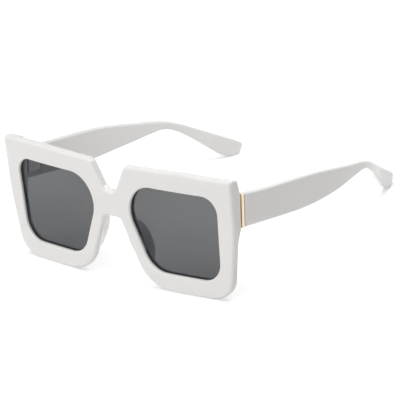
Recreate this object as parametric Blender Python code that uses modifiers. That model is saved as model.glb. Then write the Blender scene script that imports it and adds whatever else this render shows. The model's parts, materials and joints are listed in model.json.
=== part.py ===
"""Square sunglasses: a thick white front with two tinted lenses and two folding temples.

The wearer looks along -Y, so +X is the wearer's left and the temples run along +Y. The rims and
the temple tips stand on the plane Z = 0, and the origin is the middle of that footprint.
"""

import math

import bmesh
import bpy
from mathutils import Matrix, Vector

# The front
FRONT_WIDTH = 0.147
FRONT_HEIGHT = 0.060
FRONT_THICKNESS = 0.0042
FRONT_WRAP_RADIUS = 0.540
FRONT_LEAN = math.radians(3.76)
RIM_EDGE_ROUND = 0.0015
APERTURE_EDGE_ROUND = 0.0005

# The lenses
LENS_THICKNESS = 0.0016
LENS_RECESS = 0.0015
LENS_BITE = 0.0009

# The nose pads
PAD_LENGTH = 0.0212
PAD_WIDTH = 0.0068
PAD_HEIGHT = 0.0057
PAD_TILT = math.radians(25.5)
PAD_LEAN_SHARE = 0.21

# The end pieces and the hinges
HINGE_HEIGHT = 0.0430
MITRE_LEAN = math.radians(9.0)
END_PIECE_STEP = 0.0018
END_PIECE_DEPTH = 0.0042
END_PIECE_ROUND = 0.0003
END_PIECE_MARGIN = 0.0006
END_PIECE_RISE = 0.0152
END_PIECE_TAPER = 0.0018
END_PIECE_TAIL = 0.0100
END_PIECE_TAIL_DEPTH = 0.0004
END_PIECE_TAIL_INSET = 0.0024
MITRE_CUT_DEPTH = 0.0060
HINGE_LENGTH = 0.0100
KNUCKLE_RADIUS = 0.0015
NECK_WIDTH = 0.0020
LEAF_THICKNESS = 0.0008
FRONT_LEAF_REACH = 0.0044
TEMPLE_LEAF_REACH = 0.0105
LEAF_CORNER_RADIUS = 0.0007
LEAF_MARGIN = 0.0003
PIN_RADIUS = 0.00065
PIN_HEAD_RADIUS = 0.0013
PIN_HEAD_HEIGHT = 0.0005
SLOT_WIDTH = 0.0003
SLOT_DEPTH = 0.00025
SCREW_RADIUS = 0.0005
SCREW_HEAD_RADIUS = 0.0009
SCREW_HEAD_HEIGHT = 0.0004
SCREW_LENGTH = 0.0024
SCREW_SPREAD_SHARE = 0.56

# The temples
TEMPLE_LENGTH = 0.137
TEMPLE_FRONT_HEIGHT = 0.0155
TEMPLE_THICKNESS = 0.0038
TEMPLE_INSET = 0.0216
TEMPLE_SIDE_STEP = 0.0007
TEMPLE_EDGE_ROUND = 0.0010
TRIM_DEPTH = 0.0024
TRIM_PROUD = 0.00015
TRIM_EDGE_ROUND = 0.0003
CORE_RADIUS = 0.0005
CORE_WALL = 0.00085
CORE_END_SHARE = 0.90
CORE_POINTS = 32

# Fits and cutting
CLEARANCE = 0.0003
OVERRUN = 0.0020
MERGE_DISTANCE = 0.000001
BEND_SPACING = 0.0055
FLAT_ANGLE = math.radians(0.1)
SHARP_ANGLE = math.radians(50)
BEVEL_ANGLE = math.radians(35)
SMOOTH_ANGLE = math.radians(30)

ARC_SEGMENTS = 6
ROUND_SEGMENTS = 2
CIRCLE_SEGMENTS = 16
PAD_RINGS = 10
OUTLINE_STEPS = 3
TABLE_STEPS = 8
WIRE_RESOLUTION = 1
KNUCKLE_COUNT = 5
SIDES = {"left": 1, "right": -1}

# Corners of one half of the front: half widths out, front heights up, and radius in front heights
OUTER_CORNER_SHARES = (
    (0.068, 0.538, 0.045),
    (0.254, 0.023, 0.300),
    (0.490, 0.000, 1.000),
    (0.707, 0.000, 1.000),
    (0.924, 0.020, 0.185),
    (0.992, 0.550, 1.500),
    (1.000, 0.990, 0.036),
    (0.640, 1.000, 3.000),
    (0.169, 0.985, 0.060),
    (0.058, 0.762, 0.070),
)
APERTURE_CORNER_SHARES = (
    (0.876, 0.840, 0.135),
    (0.067, 0.840, 0.233),
    (0.303, 0.147, 0.217),
    (0.851, 0.147, 0.172),
)
PAD_CENTRE_SHARES = (0.1754, 0.356)

# The temple's side view: lengths along it, and heights in front heights or in drops to the table
ARM_TOP_SHARES = (
    (0.000, 0.536),
    (0.117, 0.457),
    (0.350, 0.414),
    (0.460, 0.345),
    (0.584, 0.212),
    (0.672, 0.122),
    (0.730, 0.019),
)
DROP_TOP_SHARES = ((0.780, -0.100), (0.850, -0.293), (0.930, -0.516))
TIP_SHARES = (
    (0.987, -0.674),
    (1.000, -0.750),
    (0.995, -0.872),
    (0.982, -0.965),
    (0.957, -0.9900),
)
DROP_BOTTOM_SHARES = ((0.920, -0.925), (0.860, -0.662), (0.800, -0.392), (0.752, -0.218))
ARM_BOTTOM_SHARES = (
    (0.700, -0.190),
    (0.640, -0.243),
    (0.511, -0.427),
    (0.347, -0.570),
    (0.161, -0.560),
    (0.000, -0.513),
)
# How far the temple has come in towards the head: lengths along it, and shares of the inset
INSET_SHARES = (
    (0.000, 0.000),
    (0.120, 0.002),
    (0.340, 0.003),
    (0.490, 0.045),
    (0.600, 0.147),
    (0.680, 0.236),
    (0.740, 0.340),
    (0.800, 0.487),
    (0.870, 0.692),
    (0.930, 0.832),
    (1.000, 0.985),
)

WHITE_PLASTIC = ("white_plastic", (0.86, 0.86, 0.85, 1.0), 0.22, 0.0)
GREY_LENS = ("grey_lens", (0.07, 0.075, 0.08, 1.0), 0.05, 0.0)
GOLD_TRIM = ("gold_trim", (0.83, 0.62, 0.33, 1.0), 0.20, 1.0)
HINGE_METAL = ("hinge_metal", (0.62, 0.62, 0.63, 1.0), 0.30, 1.0)


def get_material(finish):
    """The Principled material of one finish, made once."""
    name, color, roughness, metallic = finish
    material = bpy.data.materials.get(name)
    if material is None:
        material = bpy.data.materials.new(name)
        material.use_nodes = True
        shader = material.node_tree.nodes["Principled BSDF"]
        shader.inputs["Base Color"].default_value = color
        shader.inputs["Roughness"].default_value = roughness
        shader.inputs["Metallic"].default_value = metallic
        material.diffuse_color = color
    return material


def new_object(name, bm, collection, finish=None):
    """Turns a bmesh into an object with its normals facing out."""
    bmesh.ops.recalc_face_normals(bm, faces=bm.faces[:])
    mesh = bpy.data.meshes.new(name)
    bm.to_mesh(mesh)
    bm.free()
    obj = bpy.data.objects.new(name, mesh)
    collection.objects.link(obj)
    if finish is None:
        obj.hide_render = True
        obj.display_type = "WIRE"
    else:
        mesh.materials.append(get_material(finish))
        mesh.shade_smooth()
        mesh.set_sharp_from_angle(angle=SMOOTH_ANGLE)
    return obj


def add_boolean(obj, cutter, operation="DIFFERENCE"):
    modifier = obj.modifiers.new(f"{operation.lower()} {cutter.name}", "BOOLEAN")
    modifier.operation = operation
    modifier.object = cutter


def add_angle_bevel(obj, width):
    bevel = obj.modifiers.new("rounded edges", "BEVEL")
    bevel.width = width
    bevel.segments = ROUND_SEGMENTS
    bevel.limit_method = "ANGLE"
    bevel.angle_limit = BEVEL_ANGLE


def round_plate_edges(bm, width, belongs):
    """Rounds those edges round a flat plate's two faces whose middles belong."""
    edges = []
    for edge in bm.edges:
        start, end = (vertex.co for vertex in edge.verts)
        if abs(start.z - end.z) < MERGE_DISTANCE and edge.calc_face_angle(0) > SHARP_ANGLE:
            if belongs((start + end) / 2):
                edges.append(edge)
    bmesh.ops.bevel(
        bm,
        geom=edges,
        offset=width,
        offset_type="OFFSET",
        segments=ROUND_SEGMENTS,
        profile=0.5,
        affect="EDGES",
        clamp_overlap=False,
    )


def rounded_outline(corners):
    """Points of a closed outline whose corners (x, z, radius) are arcs, or sharp at radius 0."""
    points = []
    count = len(corners)
    for index, (x, z, radius) in enumerate(corners):
        if radius == 0:
            points.append((x, z))
            continue
        corner = Vector((x, z))
        before = (Vector(corners[index - 1][:2]) - corner).normalized()
        after = (Vector(corners[(index + 1) % count][:2]) - corner).normalized()
        half_angle = before.angle(after) / 2
        tangent = radius / math.tan(half_angle)
        centre = corner + (before + after).normalized() * (radius / math.sin(half_angle))
        start = corner + before * tangent - centre
        turn = (corner + after * tangent - centre).angle_signed(start)
        steps = max(1, math.ceil(ARC_SEGMENTS * abs(turn) / (math.pi / 2)))
        for step in range(steps + 1):
            arm = start.copy()
            arm.rotate(Matrix.Rotation(turn * step / steps, 2))
            points.append(tuple(centre + arm))
    return points


def smooth_points(points, steps):
    """Points of a smooth curve through the given ones (Catmull-Rom), without the last."""
    knots = [Vector(point) for point in points]
    knots = [2 * knots[0] - knots[1]] + knots + [2 * knots[-1] - knots[-2]]
    result = []
    for a, b, c, d in zip(knots, knots[1:], knots[2:], knots[3:]):
        for step in range(steps):
            t = step / steps
            bend = (2 * a - 5 * b + 4 * c - d) * t * t + (3 * b - 3 * c + d - a) * t * t * t
            result.append(tuple((2 * b + (c - a) * t + bend) / 2))
    return result


def interpolate(table, value):
    """Reads a smooth curve, given as (place, amount) points, at one place."""
    dense = smooth_points(table, TABLE_STEPS) + [table[-1]]
    for (x0, y0), (x1, y1) in zip(dense, dense[1:]):
        if value <= x1:
            return y0 + (y1 - y0) * (value - x0) / (x1 - x0)
    return table[-1][1]


def offset_outline(points, distance):
    """Moves each point of a counter-clockwise outline outwards."""
    moved = []
    for index, point in enumerate(points):
        along = Vector(points[(index + 1) % len(points)]) - Vector(points[index - 1])
        normal = Vector((along.y, -along.x)).normalized()
        moved.append(tuple(Vector(point) + normal * distance))
    return moved


def curve_to_bmesh(curve):
    """The evaluated mesh of a curve, welded, as a bmesh. The curve is removed."""
    holder = bpy.data.objects.new(curve.name, curve)
    bpy.context.scene.collection.objects.link(holder)
    depsgraph = bpy.context.evaluated_depsgraph_get()
    mesh = bpy.data.meshes.new_from_object(holder.evaluated_get(depsgraph))
    bm = bmesh.new()
    bm.from_mesh(mesh)
    bpy.data.objects.remove(holder)
    bpy.data.curves.remove(curve)
    bpy.data.meshes.remove(mesh)
    bmesh.ops.remove_doubles(bm, verts=bm.verts[:], dist=MERGE_DISTANCE)
    return bm


def filled_outline(outlines, thickness):
    """A bmesh plate centred on the XY plane, from outlines of which the later ones are holes."""
    curve = bpy.data.curves.new("outline", "CURVE")
    curve.dimensions = "2D"
    curve.fill_mode = "BOTH"
    curve.extrude = thickness / 2
    for outline in outlines:
        spline = curve.splines.new("POLY")
        spline.points.add(len(outline) - 1)
        spline.use_cyclic_u = True
        for point, (x, y) in zip(spline.points, outline):
            point.co = (x, y, 0, 1)
    bm = curve_to_bmesh(curve)
    bmesh.ops.dissolve_limit(
        bm, angle_limit=FLAT_ANGLE, verts=bm.verts[:], edges=bm.edges[:], delimit={"NORMAL"}
    )
    return bm


def slice_across(bm, axis):
    """Adds edges square to an axis, evenly spaced, so that the plate can bend there."""
    places = [vertex.co[axis] for vertex in bm.verts]
    low, high = min(places), max(places)
    count = max(2, round((high - low) / BEND_SPACING))
    normal = Vector((0, 0, 0))
    normal[axis] = 1
    for index in range(1, count):
        point = normal * (low + (high - low) * index / count)
        bmesh.ops.bisect_plane(
            bm,
            geom=bm.verts[:] + bm.edges[:] + bm.faces[:],
            dist=MERGE_DISTANCE,
            plane_co=point,
            plane_no=normal,
        )


def front_surface(x, z):
    """How far behind the XZ plane the front's outer surface lies."""
    return x * x / (2 * FRONT_WRAP_RADIUS) + z * math.tan(FRONT_LEAN)


def shape_to_front(bm):
    """Bends a flat piece to the front's wrap and leans it back."""
    for vertex in bm.verts:
        vertex.co.y += front_surface(vertex.co.x, vertex.co.z)


def front_plate(bm, near, far):
    """Stands a flat plate up as part of the front, between two depths behind its outer surface."""
    stand_up = Matrix.Translation((0, (near + far) / 2, 0)) @ Matrix.Rotation(math.pi / 2, 4, "X")
    bmesh.ops.transform(bm, matrix=stand_up, verts=bm.verts[:])
    slice_across(bm, 0)
    shape_to_front(bm)


def box(low, high):
    """A bmesh box between two corners."""
    bm = bmesh.new()
    bmesh.ops.create_cube(bm, size=1)
    size = Vector(high) - Vector(low)
    middle = (Vector(high) + Vector(low)) / 2
    bmesh.ops.scale(bm, vec=size, verts=bm.verts[:])
    bmesh.ops.translate(bm, vec=middle, verts=bm.verts[:])
    return bm


def rod(radius, low, high):
    """A bmesh cylinder along Z."""
    bm = bmesh.new()
    bmesh.ops.create_cone(
        bm,
        cap_ends=True,
        segments=CIRCLE_SEGMENTS,
        radius1=radius,
        radius2=radius,
        depth=high - low,
    )
    bmesh.ops.translate(bm, vec=(0, 0, (low + high) / 2), verts=bm.verts[:])
    return bm


def half_section(profile):
    """A bmesh line through (radius, z) points, from the axis down the outer side to the axis."""
    bm = bmesh.new()
    points = [bm.verts.new((radius, 0, z)) for radius, z in profile]
    for pair in zip(points, points[1:]):
        bm.edges.new(pair)
    return bm


def add_turn(obj):
    """Turns an object's half section about its Z axis."""
    screw = obj.modifiers.new("turned", "SCREW")
    screw.steps = CIRCLE_SEGMENTS
    screw.render_steps = CIRCLE_SEGMENTS
    screw.use_merge_vertices = True
    screw.merge_threshold = MERGE_DISTANCE
    screw.use_smooth_shade = False


def half_width():
    return FRONT_WIDTH / 2


def outer_outline():
    corners = [
        (x * half_width(), z * FRONT_HEIGHT, radius * FRONT_HEIGHT)
        for x, z, radius in OUTER_CORNER_SHARES
    ]
    mirrored = [(-x, z, radius) for x, z, radius in reversed(corners)]
    return rounded_outline(corners + mirrored)


def aperture_outline(side):
    corners = [
        (side * x * half_width(), z * FRONT_HEIGHT, radius * FRONT_HEIGHT)
        for x, z, radius in APERTURE_CORNER_SHARES
    ]
    if side < 0:
        corners.reverse()
    return rounded_outline(corners)


def lens_outline(side, spare=0):
    return offset_outline(aperture_outline(side), LENS_BITE + spare)


def temple_outer_x():
    return half_width() - TEMPLE_SIDE_STEP


def axis_offset():
    """Distance from the hinge's axis to the mitre and to the temple's inner face."""
    return KNUCKLE_RADIUS + CLEARANCE


def axis_x():
    return temple_outer_x() - TEMPLE_THICKNESS - axis_offset()


def drop_to_table():
    """How far below the hinge's axis the temple's tip ends, square to the temple."""
    reach = TIP_SHARES[-1][0] * TEMPLE_LENGTH
    return (HINGE_HEIGHT - reach * math.sin(MITRE_LEAN)) / math.cos(MITRE_LEAN)


def temple_edge_points():
    """The temple's side outline from its front top corner round the tip, as (along, up)."""
    drop = drop_to_table()
    arm_top = [(s, h * TEMPLE_FRONT_HEIGHT) for s, h in ARM_TOP_SHARES]
    drop_part = [(s, h * drop) for s, h in DROP_TOP_SHARES + TIP_SHARES + DROP_BOTTOM_SHARES]
    arm_bottom = [(s, h * TEMPLE_FRONT_HEIGHT) for s, h in ARM_BOTTOM_SHARES]
    points = [(s * TEMPLE_LENGTH, h) for s, h in arm_top + drop_part + arm_bottom]
    return points


def temple_inset(along):
    """How far the temple has come in towards the head at a distance from the mitre."""
    return TEMPLE_INSET * interpolate(INSET_SHARES, along / TEMPLE_LENGTH)


def to_hinge_frame(bm, side):
    """Turns a plate drawn as (along, up, out) into the hinge's frame, bends and mirrors it."""
    for vertex in bm.verts:
        along, up, out = vertex.co
        x = axis_offset() + TEMPLE_THICKNESS / 2 + out - temple_inset(along)
        vertex.co = (side * x, along - axis_offset(), up)


def temple_plate(start, thickness, side):
    """The temple's side outline from a distance behind the mitre, as a bent plate."""
    outline = smooth_points(temple_edge_points(), OUTLINE_STEPS) + [temple_edge_points()[-1]]
    outline.reverse()
    bm = filled_outline([outline], thickness)
    bmesh.ops.bisect_plane(
        bm,
        geom=bm.verts[:] + bm.edges[:] + bm.faces[:],
        dist=MERGE_DISTANCE,
        plane_co=(start, 0, 0),
        plane_no=(-1, 0, 0),
        clear_outer=True,
    )
    bmesh.ops.holes_fill(bm, edges=[edge for edge in bm.edges if edge.is_boundary])
    round_plate_edges(bm, TEMPLE_EDGE_ROUND, lambda place: place.x > start + MERGE_DISTANCE)
    slice_across(bm, 0)
    to_hinge_frame(bm, side)
    return bm


def knuckle_spans(first):
    """Bottom and top of every second knuckle along the axis, from the first one given."""
    height = (HINGE_LENGTH - CLEARANCE * (KNUCKLE_COUNT - 1)) / KNUCKLE_COUNT
    spans = []
    for index in range(first, KNUCKLE_COUNT, 2):
        low = index * (height + CLEARANCE) - HINGE_LENGTH / 2
        spans.append((low, low + height))
    return spans


def knuckle(low, high, reach):
    """A knuckle about Z, with a neck that ends a reach away along -Y."""
    half_neck = NECK_WIDTH / 2
    start = -math.acos(half_neck / KNUCKLE_RADIUS)
    outline = [(-half_neck, -reach), (half_neck, -reach)]
    for step in range(CIRCLE_SEGMENTS + 1):
        angle = start + (math.pi - 2 * start) * step / CIRCLE_SEGMENTS
        outline.append((KNUCKLE_RADIUS * math.cos(angle), KNUCKLE_RADIUS * math.sin(angle)))
    bm = filled_outline([outline], high - low)
    bmesh.ops.translate(bm, vec=(0, 0, (low + high) / 2), verts=bm.verts[:])
    return bm


def leaf_plate(low, high, thickness, radius):
    """A hinge plate in the XY plane with its face at Z = 0."""
    (x0, y0), (x1, y1) = low, high
    corners = [(x0, y0, radius), (x1, y0, radius), (x1, y1, radius), (x0, y1, radius)]
    bm = filled_outline([rounded_outline(corners)], thickness)
    bmesh.ops.translate(bm, vec=(0, 0, -thickness / 2), verts=bm.verts[:])
    return bm


def countersunk_profile(spare, top):
    """Half section of a countersunk screw with its head's face at Z = 0, and of its hole."""
    return [
        (0, top),
        (SCREW_HEAD_RADIUS + spare, top),
        (SCREW_HEAD_RADIUS + spare, 0),
        (SCREW_RADIUS + spare, -SCREW_HEAD_HEIGHT),
        (SCREW_RADIUS + spare, -SCREW_LENGTH - spare),
        (0, -SCREW_LENGTH - spare),
    ]


def slot_cutter(name, head_radius, top, cutters):
    """A cutter for the driver's slot across a screw's head."""
    length = head_radius + OVERRUN
    low = (-length, -SLOT_WIDTH / 2, top - SLOT_DEPTH)
    return new_object(name, box(low, (length, SLOT_WIDTH / 2, top + OVERRUN)), cutters)


def place(obj, parent, matrix):
    obj.parent = parent
    obj.matrix_local = matrix


class Side:
    """One side of the glasses: its sign, its hinge's empties and where its objects go."""

    def __init__(self, name, parts, cutters, root):
        self.name = name
        self.sign = SIDES[name]
        self.parts = parts
        self.cutters = cutters
        surface = front_surface(temple_outer_x(), HINGE_HEIGHT)
        mitre_y = surface + FRONT_THICKNESS + END_PIECE_STEP
        turn = Matrix.Rotation(-MITRE_LEAN, 4, "X")
        seat = bpy.data.objects.new(f"hinge_seat_{name}", None)
        seat.parent = root
        seat.matrix_local = (
            Matrix.Translation((self.sign * axis_x(), mitre_y, HINGE_HEIGHT))
            @ turn
            @ Matrix.Translation((0, axis_offset(), 0))
        )
        pivot = bpy.data.objects.new(f"temple_pivot_{name}", None)
        pivot.parent = seat
        for empty in (seat, pivot):
            empty.empty_display_size = HINGE_LENGTH
            parts.objects.link(empty)
        self.seat = seat
        self.pivot = pivot

    def part(self, name, bm, finish, parent, matrix=Matrix()):
        obj = new_object(f"{name}_{self.name}", bm, self.parts, finish)
        place(obj, parent, matrix)
        return obj

    def cutter(self, name, bm, parent, matrix=Matrix()):
        obj = new_object(f"cut_{name}_{self.name}", bm, self.cutters)
        place(obj, parent, matrix)
        return obj

    def span_box(self, low, high):
        """A box whose X limits are given outwards from the axis."""
        xs = sorted((self.sign * low[0], self.sign * high[0]))
        return box((xs[0], low[1], low[2]), (xs[1], high[1], high[2]))


def front_leaf_matrix():
    """Lays a plate or screw drawn along Z against the mitre, with its face to the temple."""
    return Matrix.Translation((0, -axis_offset(), 0)) @ Matrix.Rotation(-math.pi / 2, 4, "X")


def temple_leaf_matrix(sign):
    """Lays a plate or screw drawn along Z against the temple, with its face to the head."""
    turn = Matrix.Rotation(-sign * math.pi / 2, 4, "Y")
    return Matrix.Translation((sign * axis_offset(), 0, 0)) @ turn


def leaf_half_height():
    return HINGE_LENGTH / 2 + LEAF_MARGIN


def screw_height():
    return leaf_half_height() * SCREW_SPREAD_SHARE


def make_front(root, parts):
    outer = outer_outline()
    bm = filled_outline([outer, aperture_outline(1), aperture_outline(-1)], FRONT_THICKNESS)

    def on_outer(place):
        return distance_to_outline(place.xy, outer) < RIM_EDGE_ROUND * 2

    round_plate_edges(bm, APERTURE_EDGE_ROUND, lambda place: not on_outer(place))
    round_plate_edges(bm, RIM_EDGE_ROUND, on_outer)
    front_plate(bm, 0, FRONT_THICKNESS)
    front = new_object("front_frame", bm, parts, WHITE_PLASTIC)
    front.parent = root
    return front


def distance_to_outline(point, outline):
    """Distance from a point to the nearest side of a closed outline."""
    here = Vector(point)
    best = FRONT_WIDTH
    for index, end in enumerate(outline):
        start = Vector(outline[index - 1])
        along = Vector(end) - start
        share = max(0, min(1, (here - start).dot(along) / along.length_squared))
        best = min(best, (here - start - along * share).length)
    return best


def add_end_piece(side, front):
    """Thickens the front behind one end and mitres it where the temple closes on it."""
    inner = -KNUCKLE_RADIUS - CLEARANCE
    outer = temple_outer_x() - axis_x()
    low, high = end_piece_heights()
    face = -axis_offset()
    block = side.cutter("end_piece", end_piece_block(side.sign, inner, outer), side.seat)
    add_angle_bevel(block, END_PIECE_ROUND)
    add_boolean(front, block, "UNION")
    reach = outer + OVERRUN
    mitre = side.cutter(
        "mitre", side.span_box((inner, face, low), (reach, face + MITRE_CUT_DEPTH, high)), side.seat
    )
    add_boolean(front, mitre)


def end_piece_block(sign, inner, outer):
    """Runs from the mitre up to the rim's top and down along its back, in the hinge's frame."""
    low, high = end_piece_heights()
    face = -axis_offset()
    front, foot = face - END_PIECE_DEPTH, low - END_PIECE_TAIL
    side_view = [
        (front, foot),
        (face - END_PIECE_TAIL_DEPTH, foot),
        (face, low),
        (face, high),
        (face - END_PIECE_TAPER, END_PIECE_RISE),
        (front, END_PIECE_RISE),
    ]
    bm = filled_outline([side_view], outer - inner)
    bmesh.ops.bisect_plane(
        bm,
        geom=bm.verts[:] + bm.edges[:] + bm.faces[:],
        dist=MERGE_DISTANCE,
        plane_co=(0, low, 0),
        plane_no=(0, 1, 0),
    )
    for vertex in bm.verts:
        if vertex.co.y < low - MERGE_DISTANCE and vertex.co.z > 0:
            vertex.co.z -= END_PIECE_TAIL_INSET
        along, up, out = vertex.co
        vertex.co = (sign * (out + (inner + outer) / 2), along, up)
    return bm


def end_piece_heights():
    """Bottom and top of the end piece, a little past the temple's front end."""
    top = ARM_TOP_SHARES[0][1] * TEMPLE_FRONT_HEIGHT + END_PIECE_MARGIN
    bottom = ARM_BOTTOM_SHARES[-1][1] * TEMPLE_FRONT_HEIGHT - END_PIECE_MARGIN
    return bottom, top


def make_lens(side, front, root):
    near, far = LENS_RECESS, LENS_RECESS + LENS_THICKNESS
    lens = filled_outline([lens_outline(side.sign)], far - near)
    front_plate(lens, near, far)
    side.part("lens", lens, GREY_LENS, root)
    near, far = near - CLEARANCE, far + CLEARANCE
    groove = filled_outline([lens_outline(side.sign, CLEARANCE)], far - near)
    front_plate(groove, near, far)
    add_boolean(front, side.cutter("groove", groove, root))


def make_nose_pad(side, root):
    """Half an egg on the back of the rim, leaning away from the nose."""
    bm = bmesh.new()
    bmesh.ops.create_uvsphere(bm, u_segments=CIRCLE_SEGMENTS, v_segments=PAD_RINGS, radius=1)
    bmesh.ops.scale(bm, vec=(PAD_WIDTH / 2, PAD_HEIGHT, PAD_LENGTH / 2), verts=bm.verts[:])
    bmesh.ops.bisect_plane(
        bm,
        geom=bm.verts[:] + bm.edges[:] + bm.faces[:],
        dist=MERGE_DISTANCE,
        plane_co=(0, 0, 0),
        plane_no=(0, -1, 0),
        clear_outer=True,
    )
    bmesh.ops.holes_fill(bm, edges=[edge for edge in bm.edges if edge.is_boundary])
    for vertex in bm.verts:
        vertex.co.x += side.sign * PAD_LEAN_SHARE * vertex.co.y
    centre = (
        side.sign * PAD_CENTRE_SHARES[0] * half_width(),
        FRONT_THICKNESS + CLEARANCE,
        PAD_CENTRE_SHARES[1] * FRONT_HEIGHT,
    )
    tilt = Matrix.Rotation(-side.sign * PAD_TILT, 4, "Y")
    bmesh.ops.transform(bm, matrix=Matrix.Translation(centre) @ tilt, verts=bm.verts[:])
    shape_to_front(bm)
    side.part("nose_pad", bm, WHITE_PLASTIC, root)


def add_knuckles(side, leaf, spans, matrix, parent):
    """Joins knuckles to a leaf and bores them for the pin."""
    reach = axis_offset() + LEAF_THICKNESS / 2
    for index, (low, high) in enumerate(spans):
        shape = side.cutter(f"{leaf.name}_knuckle_{index}", knuckle(low, high, reach), parent, matrix)
        add_boolean(leaf, shape, "UNION")
    radius = PIN_RADIUS + CLEARANCE
    half = HINGE_LENGTH / 2 + OVERRUN
    bore = side.cutter(f"{leaf.name}_bore", rod(radius, -half, half), parent)
    add_boolean(leaf, bore)


def add_screws(side, name, hosts, matrices, parent):
    """Two countersunk screws through a leaf into what carries it."""
    for place_name, matrix in matrices.items():
        section = half_section(countersunk_profile(0, 0))
        screw = side.part(f"{name}_{place_name}", section, HINGE_METAL, parent, matrix)
        add_turn(screw)
        slot = slot_cutter(f"cut_{screw.name}_slot", SCREW_HEAD_RADIUS, 0, side.cutters)
        place(slot, parent, matrix)
        add_boolean(screw, slot)
        section = half_section(countersunk_profile(CLEARANCE, OVERRUN))
        cutter = side.cutter(f"{name}_{place_name}_hole", section, parent, matrix)
        add_turn(cutter)
        for host in hosts:
            add_boolean(host, cutter)


def make_front_leaf(side, front):
    matrix = front_leaf_matrix()
    sign = side.sign
    inner = -KNUCKLE_RADIUS
    xs = sorted((sign * inner, sign * FRONT_LEAF_REACH))
    half = leaf_half_height()
    plate = leaf_plate((xs[0], -half), (xs[1], half), LEAF_THICKNESS, LEAF_CORNER_RADIUS)
    leaf = side.part("hinge_front_leaf", plate, HINGE_METAL, side.seat)
    leaf.data.transform(matrix)
    add_knuckles(side, leaf, knuckle_spans(0), Matrix(), side.seat)
    face = -axis_offset()
    pocket = side.span_box(
        (inner - OVERRUN, face - LEAF_THICKNESS - CLEARANCE, -half - CLEARANCE),
        (FRONT_LEAF_REACH + CLEARANCE, face + OVERRUN, half + CLEARANCE),
    )
    add_boolean(front, side.cutter("front_leaf_pocket", pocket, side.seat))
    x = sign * (KNUCKLE_RADIUS + FRONT_LEAF_REACH) / 2
    matrices = {
        place_name: Matrix.Translation((x, 0, height)) @ matrix
        for place_name, height in (("upper", screw_height()), ("lower", -screw_height()))
    }
    add_screws(side, "front_leaf_screw", (leaf, front), matrices, side.seat)


def make_temple(side):
    bm = temple_plate(temple_start(), TEMPLE_THICKNESS, side.sign)
    return side.part("temple", bm, WHITE_PLASTIC, side.pivot)


def temple_start():
    """Where the plastic begins behind the mitre: past the trim and two small gaps."""
    return CLEARANCE + TRIM_DEPTH + CLEARANCE


def make_trim(side):
    """The gold end plate, a little proud of the temple all round."""
    near, far = CLEARANCE, CLEARANCE + TRIM_DEPTH
    tops = [interpolate(edge_table("top"), place) + TRIM_PROUD for place in (near, far)]
    bottoms = [interpolate(edge_table("bottom"), place) - TRIM_PROUD for place in (near, far)]
    outline = [(near, bottoms[0]), (far, bottoms[1]), (far, tops[1]), (near, tops[0])]
    bm = filled_outline([outline], TEMPLE_THICKNESS + TRIM_PROUD * 2)
    to_hinge_frame(bm, side.sign)
    trim = side.part("temple_trim", bm, GOLD_TRIM, side.pivot)
    add_angle_bevel(trim, TRIM_EDGE_ROUND)
    return trim


def make_temple_leaf(side, temple, trim):
    sign = side.sign
    matrix = temple_leaf_matrix(sign)
    half = leaf_half_height()
    near = -KNUCKLE_RADIUS
    plate = leaf_plate((-half, near), (half, TEMPLE_LEAF_REACH), LEAF_THICKNESS, LEAF_CORNER_RADIUS)
    leaf = side.part("hinge_temple_leaf", plate, HINGE_METAL, side.pivot)
    leaf.data.transform(matrix)
    knuckle_turn = Matrix.Rotation(sign * math.pi / 2, 4, "Z")
    add_knuckles(side, leaf, knuckle_spans(1), knuckle_turn, side.pivot)
    face = axis_offset()
    pocket = side.span_box(
        (face - OVERRUN, near - OVERRUN, -half - CLEARANCE),
        (face + LEAF_THICKNESS + CLEARANCE, TEMPLE_LEAF_REACH + CLEARANCE, half + CLEARANCE),
    )
    cutter = side.cutter("temple_leaf_pocket", pocket, side.pivot)
    add_boolean(temple, cutter)
    add_boolean(trim, cutter)
    y = (KNUCKLE_RADIUS + TEMPLE_LEAF_REACH) / 2
    matrices = {
        place_name: Matrix.Translation((0, y, height)) @ matrix
        for place_name, height in (("upper", screw_height()), ("lower", -screw_height()))
    }
    add_screws(side, "temple_leaf_screw", (leaf, temple), matrices, side.pivot)


def make_hinge_screw(side):
    """The hinge's pin: a screw whose head stands on the top knuckle."""
    end = HINGE_LENGTH / 2
    seat = end + CLEARANCE
    top = seat + PIN_HEAD_HEIGHT
    profile = [
        (0, top),
        (PIN_HEAD_RADIUS, top),
        (PIN_HEAD_RADIUS, seat),
        (PIN_RADIUS, seat),
        (PIN_RADIUS, -end),
        (0, -end),
    ]
    screw = side.part("hinge_screw", half_section(profile), HINGE_METAL, side.seat)
    add_turn(screw)
    slot = slot_cutter(f"cut_{screw.name}_slot", PIN_HEAD_RADIUS, top, side.cutters)
    place(slot, side.seat, Matrix())
    add_boolean(screw, slot)


def edge_table(edge):
    """The temple's top or bottom edge as (along, up) points from the front to the tip."""
    drop = drop_to_table()
    if edge == "top":
        arm, tail = ARM_TOP_SHARES, DROP_TOP_SHARES
    else:
        arm, tail = ARM_BOTTOM_SHARES[::-1], DROP_BOTTOM_SHARES[::-1]
    rows = [(s, h * TEMPLE_FRONT_HEIGHT) for s, h in arm] + [(s, h * drop) for s, h in tail]
    return [(s * TEMPLE_LENGTH, h) for s, h in rows]


def core_path(side, start):
    """Points of the stiffening wire, midway between the temple's edges."""
    end = CORE_END_SHARE * TEMPLE_LENGTH
    out = TEMPLE_THICKNESS - CORE_WALL - CLEARANCE - CORE_RADIUS
    points = []
    for index in range(CORE_POINTS):
        along = start + (end - start) * index / (CORE_POINTS - 1)
        up = (interpolate(edge_table("top"), along) + interpolate(edge_table("bottom"), along)) / 2
        x = axis_offset() + out - temple_inset(along)
        points.append((side.sign * x, along - axis_offset(), up))
    return points


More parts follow.
